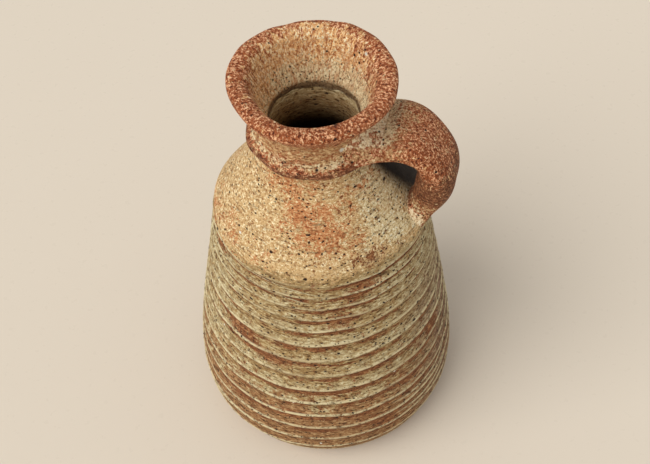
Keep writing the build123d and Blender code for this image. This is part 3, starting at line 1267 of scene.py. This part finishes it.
        # painted shade on the coil's upper half, in the crease under the funnel
        crease_shade = smooth(-1.2, 0.2, points[..., 2] - self.joint_height)
        paint = {"ash": 0 * radius, "umber": 0 * radius + 1, "crease_shade": crease_shade, "flow": points}
        piece = build_mesh("pressed_coil", points, Close.LOOP, paint)
        piece.data.materials.append(JointClay().material())
        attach(piece, "root")
        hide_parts("throat_coil")
        return piece


@dataclass
class StrapHandle:
    """The pulled strap from neck to dome, and the clay worked round its two ends."""

    thickness: float = 14.0
    squareness: float = 2.6
    root_width: float = 34.5
    crown_width: float = 29.0
    bend_swell: float = 4.2
    arch_hollow: float = 2.5
    heel_width: float = 14.5
    root: tuple[float, float] = (26.6, 206.0)
    crown: tuple[float, float] = (49.5, 203.4)
    heel: tuple[float, float] = (49.0, 158.0)
    root_lean: float = -19.0
    crown_lean: float = -45.0
    heel_lean: float = -115.0
    pulls: tuple[float, float, float, float] = (5.0, 13.4, 22.8, 20.0)
    root_clay: float = 8.0
    heel_clay: float = 7.0
    root_spread: float = 5.0
    heel_spread: float = 4.0
    leave_pull: float = 9.0
    arrive_pull: float = 7.0
    columns: int = 112
    rows: int = 110
    end_rows: int = 22

    def line(self) -> Track:
        """The centre line in the XZ plane, two cubics from the neck's surface to the dome's.

        Returns:
            The line of (across, up).
        """
        root, crown, heel = (np.array(point) for point in (self.root, self.crown, self.heel))
        lean, (out, come, go, land) = heading(self.crown_lean), self.pulls
        upper = bezier(root, root + out * heading(self.root_lean), crown - come * lean, crown)
        lower = bezier(crown, crown + go * lean, heel - land * heading(self.heel_lean), heel)
        return Track(np.vstack([upper, lower[1:]]))

    def section(self) -> tuple[Grid, Grid]:
        """An oval with fuller corners: cos and sin of the angle, each to the power 2/squareness.

        Returns:
            Shares of the half width and of the half thickness, once round.
        """
        angle = bearings(self.columns)
        power = 2 / self.squareness
        across = np.sign(np.cos(angle)) * np.abs(np.cos(angle)) ** power
        lift = np.sign(np.sin(angle)) * np.abs(np.sin(angle)) ** power
        return across, lift

    def ring(self, distance: Grid) -> Grid:
        """Rings of the strap at distances along its line.

        The half width eases from root to crown to heel, and each ring stands square to the
        line: centre + across * half width along Y + lift * half thickness along the normal.
        Fingers have left a shallow hollow down the middle of the outer face, and pushed the
        inner face thin under the arch and thick in the bend below it.

        Args:
            distance: (rows,) distances in millimetres.

        Returns:
            (rows, columns, 3) points.
        """
        line = self.line()
        centre, along = line.at(distance)[:, None], line.along(distance)[:, None]
        share = (distance / line.length)[:, None]
        width = self.root_width + (self.crown_width - self.root_width) * smooth(0, 0.5, share)
        width = width + (self.heel_width - self.crown_width) * smooth(0.5, 1.0, share)
        across, lift = self.section()
        angle = bearings(self.columns)
        lumps = 0.16 * Ripple(61, 4, 50).at(angle, distance[:, None])
        side = across * (width / 2 + lumps)
        dip = 0.5 * hump(0.0, 0.35, across) * (lift > 0)
        inner = self.bend_swell * hump(0.66, 0.20, share)
        inner = inner - self.arch_hollow * hump(0.355, 0.07, share)
        raised = lift * (self.thickness / 2 + lumps + inner * (lift < 0)) - dip
        x = centre[..., 0] - along[..., 1] * raised
        z = centre[..., 1] + along[..., 0] * raised
        return np.stack([x, side + 0 * x, z], axis=-1)

    def worked_end(
        self, ring: Grid, away: Grid, host: Track, middle: float, spread: float
    ) -> Grid:
        """Clay smoothed from a ring of the strap out onto a turned surface.

        The ring's outline is laid on the surface, made wider by the spread, and joined to the
        ring by cubics that leave along the strap and arrive along the surface.

        Args:
            ring: (columns, 3) last ring of the strap.
            away: (3,) direction in which the strap runs in there.
            host: outline of the surface it is worked onto.
            middle: distance along that outline of the joint's middle.
            spread: how far the clay runs out beyond the strap.

        Returns:
            (rows, columns, 3) points, the last row just under the surface.
        """
        across, lift = self.section()
        width = np.abs(ring[:, 1]).max()
        angle = bearings(self.columns)
        reach = spread * (1 + 0.22 * Ripple(71, 5, 30).at(angle, 0 * angle))

        def laid(extra: float, sink: float) -> Grid:
            """The strap's outline laid on the surface.

            Args:
                extra: how much wider than the clay's own reach.
                sink: how far under the surface.

            Returns:
                (columns, 3) points.
            """
            side = across * (width + reach + extra)
            place = host.at(middle - lift * (self.thickness / 2 + reach + extra))
            radius = place[:, 0] - sink
            out = np.sqrt(np.maximum(radius**2 - side**2, 1.0))
            return np.stack([out, side, place[:, 1]], axis=-1)

        runs = laid(0.5, 0.45) - laid(-0.5, 0.25)
        t = np.linspace(0.0, 1.0, self.end_rows)[:, None, None]
        return joined(t, ring, away * self.leave_pull, laid(0.0, 0.35), runs * self.arrive_pull)

    def caught(self, points: Grid) -> Grid:
        """Ash caught on top of the root, right under the lip."""
        return smooth(209.8, 213.4, points[..., 2]) * smooth(42.0, 33.0, points[..., 0])

    def build_piece(
        self, name: str, node: str, slot: str, points: Grid, ash: Grid, skin: Material
    ) -> Piece:
        """Builds one of the handle's pieces and dresses it.

        Args:
            name: the piece's name.
            node: the node it replaces.
            slot: its material slot; not used.
            points: (rows, columns, 3) its skin.
            ash: (rows, columns) where ash lies on it.
            skin: its material.

        Returns:
            The piece.
        """
        zero = np.zeros(points.shape[:2])
        across, side, height = points[..., 0], points[..., 1], points[..., 2]
        # darker downwards and outwards along the strap
        dull_and_far_shade = smooth(205.0, 180.0, height) + 0.25 * smooth(54.0, 64.0, across)
        # painted shade: the strap's far side, where its outer face turns away from the light
        dull_and_far_shade = dull_and_far_shade + 0.45 * smooth(4.0, 13.0, side)
        seam = smooth(178.0, 166.0, height) * smooth(0.0, -8.0, side)
        smoke_and_shade = np.clip(dull_and_far_shade, 0, 1) * (1 - 0.5 * seam)
        # the first term lays sand on the strap's top under the lip, partly as painted light against
        # the lip's shade
        sand = 0.54 * smooth(200.0, 208.0, height) * smooth(54.0, 38.0, across) + 0.5 * seam
        bare = dict.fromkeys(("gold", "umber", "crease_shade"), zero)
        paint = {"ash": ash, "sand": sand, "smoke_and_shade": smoke_and_shade, **bare, "flow": points}
        piece = build_mesh(name, points, Close.CAPS, paint)
        piece.data.materials.append(skin)
        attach(piece, "root")
        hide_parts(node)
        return piece

    def build(self, body: ThrownBody, collar: MouthCollar) -> list[Piece]:
        """Builds the strap and its two worked ends.

        Args:
            body: the body, whose dome carries the heel.
            collar: the collar, whose neck carries the root.

        Returns:
            The three pieces.
        """
        line = self.line()
        start, end = self.root_clay, line.length - self.heel_clay
        strap = self.ring(np.linspace(start, end, self.rows))
        neck = Track(flowing(collar.outside()))
        dome = body.outline()
        turn = line.along(np.array([start, end]))
        into_neck = -np.array([turn[0, 0], 0.0, turn[0, 1]])
        into_dome = np.array([turn[1, 0], 0.0, turn[1, 1]])
        at_neck = neck.nearest(np.array(self.root))
        at_dome = dome.nearest(np.array(self.heel))
        root = self.worked_end(strap[0], into_neck, neck, at_neck, self.root_spread)
        heel = self.worked_end(strap[-1], into_dome, dome, at_dome, self.heel_spread)
        clay, rim = JointClay().material(), RimStoneware().material()
        strap_run, heel_run = (np.linspace(0, 1, len(points))[:, None] for points in (strap, heel))
        across, lift = self.section()
        near_edge = smooth(0.1, 0.9, -0.8 * across - 0.4 * lift)
        heel_ash = 0.85 * smooth(0.45, 0.95, 0.72 * heel_run + 0.6 * near_edge)
        strap_ash = self.caught(strap) + 0.5 * smooth(0.88, 1.0, strap_run) * near_edge
        parts = (
            ("pulled_strap", "strap_handle", "rim_stoneware", strap, strap_ash, rim),
            ("root_smear", "handle_root_clay", "joint_clay", root, self.caught(root), clay),
            ("heel_smear", "handle_heel_clay", "joint_clay", heel, heel_ash, clay),
        )
        return [self.build_piece(*part) for part in parts]


# ---------------------------------------------------------------- studio


@dataclass
class Studio:
    """Plain pale floor, soft light from the upper left, and the camera."""

    floor_tone: Tone = Tone(226, 213, 194)
    turn: float = 17.0
    distance: float = 0.2802
    height: float = 0.4968
    pan: float = 0.40
    tilt: float = 53.17
    roll: float = -3.09
    lens: float = 50.0
    sensor: float = 36.0
    sky: float = 0.52
    sun: float = 2.05
    sun_spread: float = 50.0
    sun_from: tuple[float, float, float] = (-0.62, -0.38, 0.78)
    floor_half: float = 6.0
    floor_worn: Tone = Tone(214, 200, 180)

    def build_floor(self) -> None:
        """Lays a wide level floor, its tone a little uneven."""
        half = self.floor_half
        mesh = bpy.data.meshes.new("studio_floor")
        corners = [(-half, -half, 0), (half, -half, 0), (half, half, 0), (-half, half, 0)]
        mesh.from_pydata(corners, [], [(0, 1, 2, 3)])
        floor = bpy.data.objects.new("studio_floor", mesh)
        bpy.context.scene.collection.objects.link(floor)
        c = Canvas("studio_floor")
        tone = c.blend(c.step(c.noise(60.0), 0.3, 0.7, 0.03), self.floor_tone, self.floor_worn)
        rough = c.step(c.noise(5.0), 0.0, 1.0, 0.95)
        floor.data.materials.append(c.dress(tone, rough, [(c.noise(2.0), 0.01)]))

    def build_lights(self) -> None:
        """Lights the scene: an even pale sky and one broad sun."""
        world = bpy.data.worlds.new("studio_sky")
        world.use_nodes = True
        background = world.node_tree.nodes["Background"]
        background.inputs["Color"].default_value = (1, 1, 1, 1)
        background.inputs["Strength"].default_value = self.sky
        bpy.context.scene.world = world
        lamp = bpy.data.lights.new("soft_sun", "SUN")
        lamp.energy = self.sun
        lamp.angle = np.radians(self.sun_spread)
        sun = bpy.data.objects.new("soft_sun", lamp)
        bpy.context.scene.collection.objects.link(sun)
        toward = Matrix.Rotation(np.radians(self.turn), 3, "Z") @ Vector(self.sun_from)
        sun.rotation_euler = toward.to_track_quat("Z", "Y").to_euler()

    def build_camera(self) -> None:
        """Sets up the camera, looking down on the vase from the front."""
        pan, tilt, roll = (np.radians(value) for value in (self.pan, self.tilt, self.roll))
        ahead = np.array([np.sin(pan) * np.cos(tilt), np.cos(pan) * np.cos(tilt), -np.sin(tilt)])
        right = np.cross(ahead, [0.0, 0.0, 1.0])
        right /= np.linalg.norm(right)
        above = np.cross(right, ahead)
        level = np.cos(roll) * right + np.sin(roll) * above
        upright = -np.sin(roll) * right + np.cos(roll) * above
        axes = Matrix(np.stack([level, upright, -ahead], axis=1).tolist()).to_4x4()
        lens = bpy.data.cameras.new("camera")
        lens.lens, lens.sensor_width = self.lens, self.sensor
        camera = bpy.data.objects.new("camera", lens)
        bpy.context.scene.collection.objects.link(camera)
        place = Matrix.Translation((0.0, -self.distance, self.height)) @ axes
        camera.matrix_world = Matrix.Rotation(np.radians(self.turn), 4, "Z") @ place
        bpy.context.scene.camera = camera


def main() -> None:
    """Builds every piece in order."""
    logging.basicConfig(level=logging.INFO, format="%(message)s")
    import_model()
    body, collar, handle, studio = ThrownBody(), MouthCollar(), StrapHandle(), Studio()
    pieces = [body.build(), collar.build(), collar.build_coil(), *handle.build(body, collar)]
    for piece in pieces:
        LOG.info("%s: %d faces", piece.name, len(piece.data.polygons))
    studio.build_floor()
    studio.build_lights()
    studio.build_camera()
    bpy.context.scene.view_settings.view_transform = "Standard"


if __name__ == "__main__":
    main()
